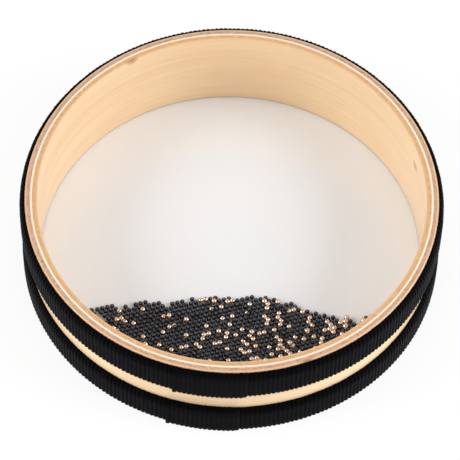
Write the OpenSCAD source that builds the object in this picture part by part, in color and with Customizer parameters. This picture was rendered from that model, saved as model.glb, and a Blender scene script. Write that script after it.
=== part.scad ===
// Ocean drum: a shallow round shell of bent plywood with a clear film head on
// top and a white film head below. Ribbed ribbon covers the glued collar of
// each head, and small steel beads roll loose on the lower head.

/* [Shell] */
// Outside diameter of the bent plywood shell
shell_d = 252; // [220:1:300]
// Height of the shell between the two heads
shell_h = 62; // [55:0.5:90]
// Thickness of the outer face ply
outer_face_t = 1.2; // [1:0.1:2]
// Thickness of the cross ply under the outer face
outer_cross_t = 2; // [1:0.1:3]
// Thickness of the core ply
core_t = 1.3; // [0.8:0.1:2]
// Thickness of the cross ply under the inner face
inner_cross_t = 2; // [1:0.1:3]
// Thickness of the inner face ply
inner_face_t = 1.1; // [1:0.1:2]
// Radius sanded on the outer and inner edges of both rims
rim_round = 0.8; // [0.4:0.1:0.9]
// Width of the butt seam where the ends of each ply meet
seam_w = 0.25; // [0.1:0.05:0.5]

/* [Heads] */
// Thickness of both head films
film_t = 0.25; // [0.15:0.05:0.5]
// Length of film folded down and glued on the outside of the shell
collar_h = 12; // [6:0.5:18]

/* [Ribbons] */
// Width of both ribbons
ribbon_w = 21.5; // [18:0.5:24]
// Distance by which the padded ribbon stands out from the film
ribbon_t = 2.6; // [0.6:0.1:3.5]
// Distance from the top head's face to the upper ribbon
upper_inset = 0.7; // [0.3:0.1:2]
// Distance from the bottom head's face to the lower ribbon
lower_inset = 0.8; // [0.8:0.1:3]
// How far the lapped end of the upper ribbon sits below the rest of it
upper_lap_drop = 0.2; // [0.1:0.1:0.7]
// How far the lapped end of the lower ribbon sits below the rest of it
lower_lap_drop = 0.5; // [0.1:0.1:0.7]
// Length of each lap, where the ribbon passes over its own start
lap_l = 42; // [20:1:60]
// Thickness that each lap adds
lap_t = 1; // [0.5:0.1:1.5]
// Length over which the ribbon climbs on to its own start
lap_ramp_l = 3; // [1:0.5:6]

/* [Beads] */
// Diameter of the steel beads
bead_d = 3; // [2.5:0.1:4]
// Clearance round each bead
bead_gap = 0.15; // [0.1:0.01:0.3]
// Rows of beads in the outer band and in the middle band
band_rows = 4; // [2:1:6]
// Distance by which the edge of the bead pile wanders
edge_wander = 3; // [0:0.1:4]

/* [Hidden] */
$fn = 180;

overrun = 1;
shell_r = shell_d / 2;
drum_h = shell_h + 2 * film_t;

// Outer radius of each ply, from the outside in
outer_cross_r = shell_r - outer_face_t;
core_r = outer_cross_r - outer_cross_t;
inner_cross_r = core_r - core_t;
inner_face_r = inner_cross_r - inner_cross_t;
bore_r = inner_face_r - inner_face_t;

// Directions of the five butt seams, spread so that no two lie together
outer_face_seam = 90;
outer_cross_seam = 205;
core_seam = 325;
inner_cross_seam = 145;
inner_face_seam = 270;

// Ribbons: where the start of each one is covered by its own lap
lower_start_angle = -87.4;
upper_start_angle = -85.6;
ribbon_in_r = shell_r + film_t;
ribbon_out_r = ribbon_in_r + ribbon_t;
lap_root_r = ribbon_in_r + ribbon_t / 2;
lap_depth = ribbon_t / 2 + lap_t;
lap_angle = lap_l / ribbon_out_r * 180 / PI;
ramp_angle = lap_ramp_l / ribbon_out_r * 180 / PI;
ramp_steps = 4;
ramp_top_share = 0.94;

// Beads: rows seated in one another's gaps, then a close-packed patch inside
bead_fn = 24;
bead_pitch = bead_d + bead_gap;
bead_z = film_t + bead_gap + bead_d / 2;
row_depth = bead_pitch * sqrt(3) / 2;
layer_rise = bead_pitch * sqrt(2 / 3);
outer_row_r = bore_r - bead_gap - bead_d / 2;
outer_half_step = asin(bead_pitch / 2 / (outer_row_r - (band_rows - 1) * row_depth));
middle_row_r = row_radius(outer_row_r, outer_half_step, band_rows - 1) - bead_pitch;
middle_half_step = asin(bead_pitch / 2 / (middle_row_r - (band_rows - 1) * row_depth));
patch_r = row_radius(middle_row_r, middle_half_step, band_rows - 1) - bead_pitch;
patch_turn = 17;
patch_count = ceil(patch_r / row_depth);
front = -90;

// The pile's upper edge across the drum, as shares of the bore radius
pile_edge_shares = [[-1, -0.38], [-0.65, -0.375], [-0.55, -0.37], [-0.43, -0.32],
    [-0.32, -0.345], [-0.2, -0.31], [-0.03, -0.295], [0.1, -0.29], [0.29, -0.31],
    [0.36, -0.33], [0.42, -0.37], [0.54, -0.39], [0.58, -0.415], [0.68, -0.4], [1, -0.39]];
copper_share = 0.19;
upper_layer_share = 0.09;
upper_layer_depth = 2 * bead_pitch;

// Seeded rolls, and the steps between the rolls that neighbouring beads take
bead_seed = 11;
roll_count = 4099;
row_stride = 131;
place_stride = 7;
salt_stride = 1009;
rolls = rands(0, 1, roll_count, bead_seed);

// One of the seeded rolls for the bead in row i and place j
function roll(i, j, salt) =
    rolls[abs(i * row_stride + j * place_stride + salt * salt_stride) % roll_count];

function pile_edge(x) = bore_r * lookup(x / bore_r, pile_edge_shares);

function in_pile(p, wander) = p[1] < pile_edge(p[0]) - wander * edge_wander;

// Copper beads are most common toward the right of the front
function is_copper(p, chance) = chance < copper_share * (1 + p[0] / bore_r / 2);

// Radius of row n of a band, each row seated in the gaps of the row outside it
function row_radius(r, half_step, n) = n == 0 ? r : row_radius(
    r * cos(half_step) - sqrt(pow(bead_pitch, 2) - pow(r * sin(half_step), 2)),
    half_step, n - 1);

function polar_2d(r, angle) = [r * cos(angle), r * sin(angle)];

function polar(r, angle, z) = [r * cos(angle), r * sin(angle), z];

// Centres of the black or the copper beads of a band
function band_beads(r, half_step, copper, salt) = [
    for (row = [0 : band_rows - 1])
        let (places = ceil(90 / half_step / 2), radius = row_radius(r, half_step, row))
        for (j = [-places : places])
            let (p = polar(radius, front + (2 * j + row % 2) * half_step, bead_z))
            if (in_pile(p, roll(row, j, salt)) && is_copper(p, roll(row, j, salt + 1)) == copper)
                p];

// Place i, j of the close-packed patch, or the hollow beside it one layer up
function patch_place(i, j, up) =
    let (x = (i + j / 2 + up / 2) * bead_pitch, y = (j + up / 3) * row_depth)
    [x * cos(patch_turn) - y * sin(patch_turn), x * sin(patch_turn) + y * cos(patch_turn),
        bead_z + up * layer_rise];

function patch_beads(copper, salt) = [
    for (j = [-patch_count : patch_count])
        for (i = [-2 * patch_count : 2 * patch_count])
            let (p = patch_place(i, j, 0))
            if (norm([p[0], p[1]]) < patch_r && in_pile(p, roll(i, j, salt))
                && is_copper(p, roll(i, j, salt + 1)) == copper)
                p];

function upper_beads(copper, salt) = [
    for (j = [-patch_count : patch_count])
        for (i = [-2 * patch_count : 2 * patch_count])
            let (p = patch_place(i, j, 1))
            if (norm([p[0], p[1]]) < patch_r && p[1] < pile_edge(p[0]) - upper_layer_depth
                && roll(i, j, salt) < upper_layer_share
                && is_copper(p, roll(i, j, salt + 1)) == copper)
                p];

// Half section of one ply, with its outer or its inner edges sanded round
module ply_section(r_in, t, round_out, round_in) {
    edge = max(round_in, round_out);
    intersection() {
        translate([r_in, 0]) square([t, shell_h]);
        union() {
            translate([r_in + round_in, 0]) square([t - edge, shell_h]);
            translate([r_in, edge]) square([t, shell_h - 2 * edge]);
            for (z = [edge, shell_h - edge]) {
                if (round_out > 0) translate([r_in + t - edge, z]) circle(r = edge);
                if (round_in > 0) translate([r_in + edge, z]) circle(r = edge);
            }
        }
    }
}

// One bent ply: a ring whose two ends meet in a butt seam
module bent_ply(r_out, t, seam, round_out, round_in) {
    translate([0, 0, film_t])
        difference() {
            rotate_extrude() ply_section(r_out - t, t, round_out, round_in);
            rotate([0, 0, seam])
                translate([r_out - t - overrun, -seam_w / 2, -overrun])
                    cube([t + 2 * overrun, seam_w, shell_h + 2 * overrun]);
        }
}

module outer_face_ply() {
    color("burlywood") bent_ply(shell_r, outer_face_t, outer_face_seam, rim_round, 0);
}

module outer_cross_ply() {
    color("rosybrown") bent_ply(outer_cross_r, outer_cross_t, outer_cross_seam, 0, 0);
}

module core_ply() {
    color("blanchedalmond") bent_ply(core_r, core_t, core_seam, 0, 0);
}

module inner_cross_ply() {
    color("tan") bent_ply(inner_cross_r, inner_cross_t, inner_cross_seam, 0, 0);
}

module inner_face_ply() {
    color("wheat") bent_ply(inner_face_r, inner_face_t, inner_face_seam, 0, rim_round);
}

// A film head: a flat skin that turns over the rim's outer edge into a collar
module head_film() {
    rotate_extrude() {
        square([shell_r - rim_round, film_t]);
        translate([shell_r, film_t + rim_round]) square([film_t, collar_h - rim_round]);
        translate([shell_r - rim_round, film_t + rim_round])
            intersection() {
                difference() {
                    circle(r = rim_round + film_t);
                    circle(r = rim_round);
                }
                translate([0, -rim_round - film_t]) square(rim_round + film_t);
            }
    }
}

module top_head_film() {
    color("lightcyan") translate([0, 0, drum_h]) mirror([0, 0, 1]) head_film();
}

module bottom_head_film() {
    color("white") head_film();
}

// A ribbon wound once round the shell, climbing over its own start into a lap
module ribbon(start_angle, lap_drop) {
    difference() {
        cylinder(r = ribbon_out_r, h = ribbon_w);
        translate([0, 0, -overrun]) cylinder(r = ribbon_in_r, h = ribbon_w + 2 * overrun);
    }
    rotate([0, 0, start_angle - lap_angle])
        rotate_extrude(angle = lap_angle)
            translate([lap_root_r, -lap_drop]) square([lap_depth, ribbon_w]);
    rotate([0, 0, start_angle])
        linear_extrude(ribbon_w)
            polygon(concat([polar_2d(lap_root_r, -ramp_angle / ramp_steps / 2)],
                [for (i = [0 : ramp_steps])
                    polar_2d(lap_root_r + lap_depth * ramp_top_share * (1 - i / ramp_steps),
                        ramp_angle * (i - 1 / 2) / ramp_steps)]));
}

module upper_ribbon() {
    color("black") translate([0, 0, drum_h - upper_inset - ribbon_w])
        ribbon(upper_start_angle, upper_lap_drop);
}

module lower_ribbon() {
    color("dimgray") translate([0, 0, lower_inset]) ribbon(lower_start_angle, lower_lap_drop);
}

module beads(centres) {
    for (p = centres) translate(p) sphere(d = bead_d, $fn = bead_fn);
}

module outer_band_black_beads() {
    color("darkslategray") beads(band_beads(outer_row_r, outer_half_step, false, 0));
}

module outer_band_copper_beads() {
    color("darksalmon") beads(band_beads(outer_row_r, outer_half_step, true, 0));
}

module middle_band_black_beads() {
    color("darkslategray") beads(band_beads(middle_row_r, middle_half_step, false, 2));
}

module middle_band_copper_beads() {
    color("darksalmon") beads(band_beads(middle_row_r, middle_half_step, true, 2));
}

module inner_patch_black_beads() {
    color("darkslategray") beads(patch_beads(false, 4));
}

module inner_patch_copper_beads() {
    color("darksalmon") beads(patch_beads(true, 4));
}

module upper_layer_black_beads() {
    color("darkslategray") beads(upper_beads(false, 8));
}

module upper_layer_copper_beads() {
    color("darksalmon") beads(upper_beads(true, 8));
}

outer_face_ply();
outer_cross_ply();
core_ply();
inner_cross_ply();
inner_face_ply();
top_head_film();
bottom_head_film();
upper_ribbon();
lower_ribbon();
outer_band_black_beads();
outer_band_copper_beads();
middle_band_black_beads();
middle_band_copper_beads();
inner_patch_black_beads();
inner_patch_copper_beads();
upper_layer_black_beads();
upper_layer_copper_beads();
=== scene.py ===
import math
import random

import bmesh
import bpy
import numpy as np
from mathutils import Matrix, Vector


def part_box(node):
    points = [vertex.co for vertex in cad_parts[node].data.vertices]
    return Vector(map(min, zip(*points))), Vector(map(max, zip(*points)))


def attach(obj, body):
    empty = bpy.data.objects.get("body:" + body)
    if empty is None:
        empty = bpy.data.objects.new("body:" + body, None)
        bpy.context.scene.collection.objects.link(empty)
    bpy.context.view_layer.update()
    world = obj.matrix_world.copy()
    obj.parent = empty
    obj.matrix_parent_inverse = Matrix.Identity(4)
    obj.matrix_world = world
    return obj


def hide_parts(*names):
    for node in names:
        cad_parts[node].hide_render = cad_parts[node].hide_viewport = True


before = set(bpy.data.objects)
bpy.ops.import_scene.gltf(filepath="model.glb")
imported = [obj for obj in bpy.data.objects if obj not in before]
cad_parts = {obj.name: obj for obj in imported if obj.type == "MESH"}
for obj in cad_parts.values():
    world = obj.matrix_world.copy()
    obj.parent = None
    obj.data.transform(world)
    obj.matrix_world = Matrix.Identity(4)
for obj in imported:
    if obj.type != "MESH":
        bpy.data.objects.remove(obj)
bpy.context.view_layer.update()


# The shell is a strip of five veneers, bent into a ring and glued with the
# joint of each veneer in a different place. Its rims are cut square, then the
# outer and inner edges are sanded round. Clear lacquer leaves the wood pale.
seam_degrees = {"outer_face_ply": 90, "outer_cross_ply": 205, "core_ply": 325,
                "inner_cross_ply": 145, "inner_face_ply": 270}
ply_names = list(seam_degrees)
inner_face_t = 0.0011
seam_w = 0.00025
rim_round = 0.0008
round_steps = 5
shell_columns = 720
drum_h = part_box("top_head_film")[1].z
film_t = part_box("core_ply")[0].z
# A hair's gap keeps neighbouring plies, and the wood and the film, from
# lying in one and the same surface.
glue_line = 0.00004
shell_low = film_t + glue_line
shell_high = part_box("core_ply")[1].z - glue_line
ply_radii = [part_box(name)[1].x for name in ply_names]
shell_r = ply_radii[0]
ply_radii.append(ply_radii[-1] - inner_face_t)


def made(name, verts, faces, wrap=None, crease=35):
    """A mesh object with even normals, smooth but for creases sharper than so many degrees."""
    mesh = bpy.data.meshes.new(name)
    mesh.from_pydata(verts, [], faces)
    if wrap is not None:
        layer = mesh.attributes.new("wrap", "FLOAT_VECTOR", "POINT")
        layer.data.foreach_set("vector", np.array(wrap, np.float32).ravel())
    cleaner = bmesh.new()
    cleaner.from_mesh(mesh)
    bmesh.ops.recalc_face_normals(cleaner, faces=cleaner.faces)
    cleaner.to_mesh(mesh)
    cleaner.free()
    mesh.polygons.foreach_set("use_smooth", [True] * len(mesh.polygons))
    mesh.set_sharp_from_angle(angle=math.radians(crease))
    piece = bpy.data.objects.new(name, mesh)
    bpy.context.collection.objects.link(piece)
    return piece


def strip_faces(columns, count):
    """The faces of a strip of so many columns between rings of count points, ends filled."""
    faces = []
    for i in range(columns):
        for k in range(count):
            n = (k + 1) % count
            faces.append((i * count + k, (i + 1) * count + k, (i + 1) * count + n, i * count + n))
    faces.append(tuple(range(count)))
    faces.append(tuple(reversed(range(columns * count, columns * count + count))))
    return faces


def bent_ply(name, section, seam, gap):
    """A ring bent from a strip with that outline of (radius, height) points, open at its seam."""
    sweep = math.tau - gap
    mid = sum(r for r, z in section) / len(section)
    verts, wrap = [], []
    for i in range(shell_columns + 1):
        turned = sweep * i / shell_columns
        a = seam + gap / 2 + turned
        for r, z in section:
            verts.append((r * math.cos(a), r * math.sin(a), z))
            wrap.append((turned * mid, z, r))
    return made(name, verts, strip_faces(shell_columns, len(section)), wrap)


def sanded(r, z, across, up):
    """Points round a sanded edge whose corner is at (r, z); across and up point into the wood."""
    return [(r + across * rim_round * (1 - math.sin(t)), z + up * rim_round * (1 - math.cos(t)))
            for t in (math.pi / 2 * k / round_steps for k in range(round_steps + 1))]


def finish_named(name, **sockets):
    """A new material and its node tree, with constants set on the shader's own sockets."""
    material = bpy.data.materials.new(name)
    material.use_nodes = True
    shader = material.node_tree.nodes["Principled BSDF"]
    for socket, value in sockets.items():
        shader.inputs[socket.replace("_", " ")].default_value = value
    return material, material.node_tree, shader


def put(tree, kind, links=(), **values):
    """A node of that kind, with its inputs set by name and linked from other nodes."""
    made_node = tree.nodes.new(kind)
    for key, value in values.items():
        if hasattr(made_node, key):
            setattr(made_node, key, value)
        else:
            made_node.inputs[key.replace("_", " ")].default_value = value
    for socket, source in links:
        tree.links.new(source, made_node.inputs[socket])
    return made_node


def stretched(tree, scale):
    """The wrap coordinates (round the ring, height, radius), scaled for a pattern."""
    wrap = put(tree, "ShaderNodeAttribute", attribute_name="wrap")
    mapping = put(tree, "ShaderNodeMapping", [("Vector", wrap.outputs["Vector"])])
    mapping.inputs["Scale"].default_value = scale
    return mapping.outputs["Vector"]


def ramp(tree, source, *stops):
    """A colour ramp over a value, with stops of (place, colour)."""
    colours = put(tree, "ShaderNodeValToRGB", [("Fac", source)])
    band = colours.color_ramp
    while len(band.elements) < len(stops):
        band.elements.new(0.5)
    for element, (place, colour) in zip(band.elements, stops):
        element.position = place
        element.color = (*colour, 1)
    return colours.outputs["Color"]


def mixed(tree, blend, amount, first, second):
    """Two colours mixed in a blend mode, through the mix node's sockets for colours."""
    amount_socket, first_socket, second_socket, result_socket = 0, 6, 7, 2
    mix = put(tree, "ShaderNodeMix", data_type="RGBA", blend_type=blend)
    if isinstance(amount, float):
        mix.inputs[amount_socket].default_value = amount
    else:
        tree.links.new(amount, mix.inputs[amount_socket])
    tree.links.new(first, mix.inputs[first_socket])
    tree.links.new(second, mix.inputs[second_socket])
    return mix.outputs[result_socket]


def veneer(name, pale, deep, grain_scale):
    """Sliced veneer with a fine grain and soft clouds, its shader still without a colour."""
    material, tree, shader = finish_named(name, Roughness=0.42, Coat_Weight=0.5,
                                          Coat_Roughness=0.16)
    grain = put(tree, "ShaderNodeTexNoise", [("Vector", stretched(tree, grain_scale))],
                Scale=1.0, Detail=7.0, Roughness=0.62, Distortion=0.35)
    cloud = put(tree, "ShaderNodeTexNoise", [("Vector", stretched(tree, (16, 34, 30)))],
                Scale=1.0, Detail=3.0, Roughness=0.5)
    colour = ramp(tree, grain.outputs["Fac"], (0.3, deep), (0.68, pale))
    shade = ramp(tree, cloud.outputs["Fac"], (0.3, (0.95, 0.92, 0.88)), (0.65, (1, 1, 1)))
    bump = put(tree, "ShaderNodeBump", [("Height", grain.outputs["Fac"])],
               Strength=0.12, Distance=0.0003)
    tree.links.new(bump.outputs["Normal"], shader.inputs["Normal"])
    return material, tree, shader, mixed(tree, "MULTIPLY", 1.0, colour, shade)


def face_veneer(name, pale, deep, grain_scale):
    """Face veneer, with a few small knots, a painted shadow along its foot and an edge tinted by
    the sanding.
    """
    white, black = (1, 1, 1), (0, 0, 0)
    material, tree, shader, colour = veneer(name, pale, deep, grain_scale)
    cells = put(tree, "ShaderNodeTexVoronoi", [("Vector", stretched(tree, (13, 17, 0)))],
                Scale=1.0)
    spot = ramp(tree, cells.outputs["Distance"], (0.02, white), (0.07, black))
    knot = put(tree, "ShaderNodeRGB")
    knot.outputs[0].default_value = (0.50, 0.24, 0.10, 1)
    colour = mixed(tree, "MIX", spot, colour, knot.outputs[0])
    axes = put(tree, "ShaderNodeSeparateXYZ",
               [("Vector", stretched(tree, (1, 1 / drum_h, 1)))])
    # A thin band of painted shadow darkens the wall's foot, where it meets the head.
    painted_foot_shadow = ((0.010, (0.50, 0.45, 0.46)), (0.027, white))
    tinted_edge = ((0.986, white), (0.991, (0.86, 0.72, 0.60)))
    edges = ramp(tree, axes.outputs["Y"], *painted_foot_shadow, *tinted_edge)
    colour = mixed(tree, "MULTIPLY", 1.0, colour, edges)
    tree.links.new(colour, shader.inputs["Base Color"])
    return material


def inside_veneer(name, pale, deep, grain_scale):
    """Veneer for the plies inside, which show at the rims alone."""
    material, tree, shader, colour = veneer(name, pale, deep, grain_scale)
    tree.links.new(colour, shader.inputs["Base Color"])
    return material


face_wood = face_veneer("pale_face_veneer", (0.95, 0.715, 0.445), (0.885, 0.62, 0.35),
                        (7, 330, 300))
outer_cross_wood = inside_veneer("pink_cross_veneer", (0.72, 0.47, 0.36), (0.36, 0.18, 0.11),
                                 (420, 60, 1500))
inner_cross_wood = inside_veneer("tan_cross_veneer", (0.80, 0.49, 0.26), (0.54, 0.28, 0.12),
                                 (420, 60, 1500))
core_wood = inside_veneer("cream_core_veneer", (0.94, 0.82, 0.62), (0.88, 0.73, 0.51),
                          (60, 200, 900))
ply_finishes = {"outer_face_ply": (face_wood, "face_veneer"),
                "outer_cross_ply": (outer_cross_wood, "cross_veneer"),
                "core_ply": (core_wood, "core_veneer"),
                "inner_cross_ply": (inner_cross_wood, "cross_veneer"),
                "inner_face_ply": (face_wood, "face_veneer")}

for name, r_out, r_in in zip(ply_names, ply_radii, ply_radii[1:]):
    r_out -= glue_line
    section = [(r_in, shell_low), (r_out, shell_low), (r_out, shell_high), (r_in, shell_high)]
    if name == "outer_face_ply":
        section = ([(r_in, shell_low)] + sanded(r_out, shell_low, -1, 1)
                   + sanded(r_out, shell_high, -1, -1)[::-1] + [(r_in, shell_high)])
    if name == "inner_face_ply":
        section = (sanded(r_in, shell_low, 1, 1)[::-1] + [(r_out, shell_low),
                   (r_out, shell_high)] + sanded(r_in, shell_high, 1, -1))
    wood, wood_slot = ply_finishes[name]
    ply = bent_ply("bent_" + name, section, math.radians(seam_degrees[name]), seam_w / r_in)
    ply.data.materials.append(wood)
    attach(ply, "drum")
    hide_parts(name)


# The lower head is opaque white polyester film, the upper one the same film
# left clear. Each is heat-shrunk flat, folded over the rim's outer edge and
# glued down in a collar that the ribbon hides.
film_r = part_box("top_head_film")[1].x
collar_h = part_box("bottom_head_film")[1].z
face_rings = 24
head_columns = 360


def head_section(face_z, up):
    """Half outline of a head, from its centre out over the rim, down its collar and back."""
    bend_out = rim_round + film_t
    centre_r, centre_z = shell_r - rim_round, face_z + up * bend_out
    turn = [math.pi / 2 * k / round_steps for k in range(round_steps + 1)]
    outside, inside = ([(centre_r + bend * math.sin(t), centre_z - up * bend * math.cos(t))
                        for t in turn] for bend in (bend_out, rim_round))
    hem = face_z + up * collar_h
    flat = [centre_r * k / face_rings for k in range(1, face_rings)]
    return ([(r, face_z) for r in flat] + outside + [(film_r, hem), (shell_r, hem)]
            + inside[::-1] + [(r, face_z + up * film_t) for r in flat[::-1]])


def head(name, face_z, up):
    """A film head, closed at its centre, whose wrap coordinates are plain places."""
    section = head_section(face_z, up)
    count = len(section)
    verts, faces = [], []
    for i in range(head_columns):
        a = math.tau * i / head_columns
        verts += [(r * math.cos(a), r * math.sin(a), z) for r, z in section]
    for i in range(head_columns):
        j = (i + 1) % head_columns
        for k in range(count - 1):
            faces.append((i * count + k, j * count + k, j * count + k + 1, i * count + k + 1))
    for k in (0, count - 1):
        verts.append((0, 0, section[k][1]))
        for i in range(head_columns):
            j = (i + 1) % head_columns
            faces.append((i * count + k, j * count + k, len(verts) - 1))
    return made(name, verts, faces, verts)


white_film, white_tree, white_shader = finish_named(
    "white_polyester", Roughness=0.08, Specular_IOR_Level=0.4, Coat_Weight=0.5, Coat_IOR=1.55,
    Coat_Roughness=0.02)
haze = put(white_tree, "ShaderNodeTexNoise", [("Vector", stretched(white_tree, (9, 9, 9)))],
           Scale=1.0, Detail=2.0)
white_tree.links.new(ramp(white_tree, haze.outputs["Fac"], (0.3, (0.835, 0.86, 0.895)),
                          (0.7, (0.855, 0.88, 0.915))), white_shader.inputs["Base Color"])
ripple = put(white_tree, "ShaderNodeBump", [("Height", haze.outputs["Fac"])],
             Strength=0.05, Distance=0.001)
white_tree.links.new(ripple.outputs["Normal"], white_shader.inputs["Normal"])

clear_film, clear_tree, clear_shader = finish_named(
    "clear_polyester", Base_Color=(0.05, 0.05, 0.06, 1), Alpha=0.03)
smear = put(clear_tree, "ShaderNodeTexNoise", [("Vector", stretched(clear_tree, (14, 14, 14)))],
            Scale=1.0, Detail=3.0)
smear_depth = put(clear_tree, "ShaderNodeMapRange", [("Value", smear.outputs["Fac"])],
                  To_Min=0.04, To_Max=0.09)
clear_tree.links.new(smear_depth.outputs["Result"], clear_shader.inputs["Roughness"])

for name, face_z, up, film, film_slot in (
        ("bottom_head_film", 0.0, 1, white_film, "white_film"),
        ("top_head_film", drum_h, -1, clear_film, "clear_film")):
    skin = head("stretched_" + name, face_z, up)
    skin.data.materials.append(film)
    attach(skin, "drum")
    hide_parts(name)


# Each ribbon is black ribbed polyester, wound once round the shell over the
# film's collar and glued. It climbs over its own start and ends in a lap at
# the front, where the lower ribbon's cut end hangs a little low.
ribbons = {"upper_ribbon": {"start_degrees": -85.6, "drop": 0.0002, "width": 0.0224},
           "lower_ribbon": {"start_degrees": -87.4, "drop": 0.0005, "width": 0.0215}}
ribbon_in_r = film_r + 0.00003
least_ribbon_t = 0.0001
table_gap = 0.0001
# The ribs, and the wave that they give the ribbon's two edges.
rib_pitch = 0.0028
rib_depth = 0.0005
rib_swell = 0.0005
rib_roundness = 0.6
rib_columns = 8
uneven_share = 0.16
edge_scallop = 0.0004
edge_sway = 0.00012
# Rows of points down the ribbon's face, closest at the upper edge, which tucks in.
ribbon_rows = 14
row_crowding = 1.6
edge_droops = {0: 0.00022, 1: 0.00005}
edge_tuck = 0.0019
tuck_depth = 0.006
# The lap, which climbs over the ribbon's start, sinks a little and curls at its cut end.
lap_length = 0.042
lap_rise = 0.001
climb_length = 0.003
lap_overrun = 0.0002
lap_seat_share = 0.98
lap_lean_share = 0.9
lap_untucked_share = 0.7
sink_before_lap = 0.02
sink_length = 0.03
end_curl = 0.001
curl_length = 0.004


def eased(share):
    """A share held between nought and one, eased at both ends."""
    held = min(1.0, max(0.0, share))
    return held * held * (3 - 2 * held)


def ribbon_section(high, along, length, phase, sway, drop, width):
    """Outline of the ribbon, as (radius, height) points, at one place along it."""
    out_r = high.x
    one_turn = math.tau * out_r
    climb = eased((along - (one_turn - climb_length)) / climb_length)
    fall = drop * eased((along - (one_turn - sink_before_lap)) / sink_length)
    curl = end_curl * max(0.0, 1 - (length - along) / curl_length) ** 2
    lapped = along > one_turn - lap_overrun
    crest = abs(math.sin(math.pi * phase)) ** rib_roundness
    uneven = 1 + uneven_share * sway
    scallop = edge_scallop * (crest - 0.5) * uneven
    top = high.z - fall + scallop + edge_sway * sway
    bottom = max(table_gap, top - width - 2 * scallop)
    inner = ribbon_in_r + (lap_seat_share * (out_r - ribbon_in_r) if lapped else 0.0)
    lean = edge_tuck * lap_lean_share if lapped else 0.0
    outer = (out_r + rib_swell + lap_rise * climb + curl
             - rib_depth * (1 - crest * min(1.0, uneven)))
    section = [(inner, bottom), (inner, top - tuck_depth), (inner - lean, top)]
    for k in range(ribbon_rows + 1):
        droop = edge_droops.get(min(k, ribbon_rows - k), 0.0)
        z = top + (bottom - top) * (k / ribbon_rows) ** row_crowding
        tuck = (edge_tuck * (1 - lap_untucked_share * climb)
                * max(0.0, 1 - (top - z) / tuck_depth) ** 2)
        section.append((max(outer - droop - tuck, inner + least_ribbon_t), z))
    return section


def ribbon(name, node, start_degrees, drop, width):
    """The ribbon as one closed strip that follows its own wound path."""
    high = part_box(node)[1]
    length = math.tau * high.x + lap_length
    ribs = round(length / rib_pitch)
    columns = ribs * rib_columns
    rng = random.Random(node)
    sways = [rng.uniform(-1, 1) for _ in range(ribs + 1)]
    verts, wrap = [], []
    for i in range(columns + 1):
        along = length * i / columns
        a = math.radians(start_degrees) - along / high.x
        rib, column = divmod(i, rib_columns)
        section = ribbon_section(high, along, length, column / rib_columns, sways[rib],
                                 drop, width)
        for r, z in section:
            verts.append((r * math.cos(a), r * math.sin(a), z))
            wrap.append((along, z, r))
    return made(name, verts, strip_faces(columns, len(section)), wrap, crease=60)


ribbed, ribbed_tree, ribbed_shader = finish_named(
    "black_ribbed_ribbon", Roughness=0.6, Specular_IOR_Level=0.02,
    Sheen_Weight=0.1, Sheen_Roughness=0.3, Sheen_Tint=(0.82, 0.86, 1, 1))
threads = put(ribbed_tree, "ShaderNodeTexNoise",
              [("Vector", stretched(ribbed_tree, (700, 3600, 0)))],
              Scale=1.0, Detail=3.0, Roughness=0.6)
ribbed_tree.links.new(ramp(ribbed_tree, threads.outputs["Fac"], (0.3, (0.0006, 0.0006, 0.0008)),
                           (0.7, (0.0025, 0.0025, 0.0032))), ribbed_shader.inputs["Base Color"])
thread_bump = put(ribbed_tree, "ShaderNodeBump", [("Height", threads.outputs["Fac"])],
                  Strength=0.5, Distance=0.0002)
ribbed_tree.links.new(thread_bump.outputs["Normal"], ribbed_shader.inputs["Normal"])

for node, shape in ribbons.items():
    band = ribbon("ribbed_" + node, node, **shape)
    band.data.materials.append(ribbed)
    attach(band, "drum")
    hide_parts(node)


# The beads are small steel balls, most of them blackened and about one in six
# copper plated. They lie loose on the white head, rolled forward against the
# wall in a single close layer, with a few on top of the others.
black_r = 0.00146
copper_r = 0.00184
copper_lift = 0.001
bead_shift = 0.00006
least_axis_height = 0.2
weld_decimals = 7
bead_ball = bmesh.new()
bmesh.ops.create_icosphere(bead_ball, subdivisions=2, radius=1.0)
ball_verts = np.array([v.co for v in bead_ball.verts])
ball_faces = np.array([[v.index for v in f.verts] for f in bead_ball.faces])
bead_ball.free()


def centres(node):
    """The centre of each ball in a CAD node, found as a separate island of its mesh."""
    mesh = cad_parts[node].data
    points = np.array([v.co for v in mesh.vertices])
    _, same = np.unique(np.round(points, weld_decimals), axis=0, return_inverse=True)
    same = same.ravel()
    owner = np.arange(same.max() + 1)
    edges = same[np.array([e.vertices for e in mesh.edges])]
    while True:
        low = np.minimum(owner[edges[:, 0]], owner[edges[:, 1]])
        grown = owner.copy()
        np.minimum.at(grown, edges[:, 0], low)
        np.minimum.at(grown, edges[:, 1], low)
        if (grown == owner).all():
            break
        owner = grown
    island = owner[same]
    found = []
    for key in np.unique(island):
        ball = points[island == key]
        found.append((ball.min(0) + ball.max(0)) / 2)
    return found


def bead_group(node, radius, lift, rng):
    """All the balls of one node as one object, each turned and shifted a hair by chance."""
    verts, faces = [], []
    for k, centre in enumerate(centres(node)):
        angle = rng.uniform(0, math.tau)
        axis = Vector((rng.uniform(-1, 1), rng.uniform(-1, 1), rng.uniform(least_axis_height, 1)))
        spin = np.array(Matrix.Rotation(angle, 3, axis.normalized()))
        shift = np.array([rng.uniform(-bead_shift, bead_shift) for _ in "xy"] + [lift])
        verts.append(ball_verts @ spin * radius + centre + shift)
        faces.append(ball_faces + k * len(ball_verts))
    return made(node.replace("beads", "balls"), np.concatenate(verts).tolist(),
                np.concatenate(faces).tolist(), crease=180)
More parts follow.
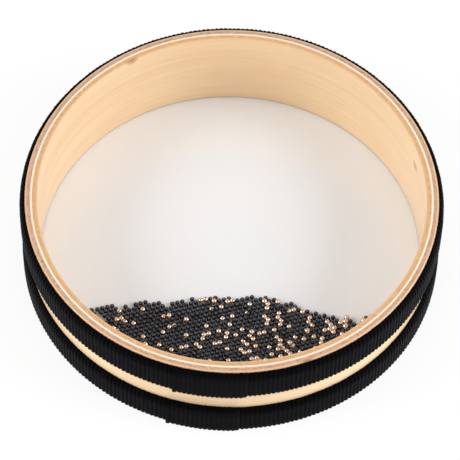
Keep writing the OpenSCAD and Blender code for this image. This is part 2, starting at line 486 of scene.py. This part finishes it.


# Blackened steel is painted lighter on top of each ball, as a highlight where it
# faces the broad pale light, and darker down the sides, as shade where they face
# its black neighbours.
black_steel, black_tree, black_shader = finish_named(
    "blackened_steel", Roughness=0.5, Specular_IOR_Level=0.12)
painted_light_facing = put(black_tree, "ShaderNodeSeparateXYZ",
             [("Vector", put(black_tree, "ShaderNodeNewGeometry").outputs["Normal"])])
black_tree.links.new(ramp(black_tree, painted_light_facing.outputs["Z"], (0.35, (0.001, 0.001, 0.002)),
                          (0.74, (0.019, 0.020, 0.026)), (0.96, (0.100, 0.104, 0.122))),
                     black_shader.inputs["Base Color"])
copper_plate, copper_tree, copper_shader = finish_named(
    "copper_plate", Metallic=1.0, Roughness=0.19)
plating = put(copper_tree, "ShaderNodeTexNoise", Scale=120.0, Detail=2.0)
copper_tree.links.new(ramp(copper_tree, plating.outputs["Fac"], (0.35, (0.78, 0.62, 0.51)),
                           (0.65, (0.88, 0.75, 0.65))), copper_shader.inputs["Base Color"])

bead_bodies = {"outer_band": "outer_band", "middle_band": "middle_band",
               "inner_patch": "inner_patch", "upper_layer": "inner_patch"}
for group, body in bead_bodies.items():
    for colour, radius, lift, metal, metal_slot in (
            ("black", black_r, 0.0, black_steel, "black_steel"),
            ("copper", copper_r, copper_lift, copper_plate, "copper_plate")):
        node = f"{group}_{colour}_beads"
        balls = bead_group(node, radius, lift, random.Random(node))
        balls.data.materials.append(metal)
        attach(balls, body)
        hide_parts(node)


# The drum lies on a plain white table. The paper on it glows to the camera
# and to gloss, and still takes the drum's shadow.
table_size = 12.0
paper_glow_share = 0.85
half = table_size / 2
table_mesh = bpy.data.meshes.new("table_top")
table_mesh.from_pydata([(-half, -half, 0), (half, -half, 0), (half, half, 0), (-half, half, 0)],
                       [], [(0, 1, 2, 3)])
table_top = bpy.data.objects.new("table_top", table_mesh)
bpy.context.collection.objects.link(table_top)
paper, paper_tree, paper_shader = finish_named("white_paper", Base_Color=(0.9, 0.9, 0.9, 1),
                                               Roughness=0.9)
seen = put(paper_tree, "ShaderNodeLightPath").outputs
seen_plainly = put(paper_tree, "ShaderNodeMath",
                   [(0, seen["Is Camera Ray"]), (1, seen["Is Glossy Ray"])],
                   operation="MAXIMUM")
seen_at_all = put(paper_tree, "ShaderNodeMath",
                  [(0, seen_plainly.outputs[0]), (1, seen["Is Transmission Ray"])],
                  operation="MAXIMUM")
paper_glow = put(paper_tree, "ShaderNodeMath", [(0, seen_at_all.outputs[0])],
                 operation="MULTIPLY")
paper_glow.inputs[1].default_value = paper_glow_share
glow = put(paper_tree, "ShaderNodeEmission", Strength=1.0)
paper_mix = put(paper_tree, "ShaderNodeMixShader",
                [("Fac", paper_glow.outputs[0]), (1, paper_shader.outputs[0]),
                 (2, glow.outputs[0])])
paper_tree.links.new(paper_mix.outputs[0], paper_tree.nodes["Material Output"].inputs["Surface"])
table_mesh.materials.append(paper)


# Two soft boxes light the drum from the left and the right, the right one a
# little stronger, and the pale room fills the rest.
box_reach, box_front, box_height = 1.2, -0.25, 0.8
box_size = 0.8
soft_boxes = {"left_soft_box": (-1, 15), "right_soft_box": (1, 17)}
room_strength = 0.57
for name, (side, watts) in soft_boxes.items():
    lamp = bpy.data.lights.new(name, "AREA")
    lamp.shape = "SQUARE"
    lamp.size = box_size
    lamp.energy = watts
    soft_box = bpy.data.objects.new(name, lamp)
    soft_box.location = (side * box_reach, box_front, box_height)
    soft_box.rotation_euler = (-soft_box.location).to_track_quat("-Z", "Y").to_euler()
    bpy.context.collection.objects.link(soft_box)

room = bpy.data.worlds.new("pale_room")
room.use_nodes = True
room_light = room.node_tree.nodes["Background"]
room_light.inputs["Color"].default_value = (1, 1, 1, 1)
room_light.inputs["Strength"].default_value = room_strength
bpy.context.scene.world = room
bpy.context.scene.view_settings.view_transform = "Standard"


# The camera stands where the photograph was taken from: in front of the drum,
# 57 degrees up, with a long lens turned a little anticlockwise.
camera_height_angle = 0.9909
camera_distance = 1.775
camera_yaw, camera_pitch, camera_roll = 0.00015, 0.00739, -0.0278
aim_point = Vector((0, 0, -0.00096))
photo_focal_px = 2833.9
photo_px = 460
camera_data = bpy.data.cameras.new("camera")
camera_data.lens = photo_focal_px / photo_px * camera_data.sensor_width
from_drum = Vector((0, -math.cos(camera_height_angle), math.sin(camera_height_angle)))
forward = -from_drum
right = Vector((1, 0, 0))
upward = right.cross(forward)
for turn_angle, axis in ((camera_yaw, upward), (camera_pitch, right), (camera_roll, forward)):
    turn_by = Matrix.Rotation(turn_angle, 3, axis)
    forward, right, upward = turn_by @ forward, turn_by @ right, turn_by @ upward
camera = bpy.data.objects.new("camera", camera_data)
bpy.context.collection.objects.link(camera)
camera.matrix_world = (Matrix.Translation(aim_point + camera_distance * from_drum)
                       @ Matrix((right, upward, -forward)).transposed().to_4x4())
bpy.context.scene.camera = camera
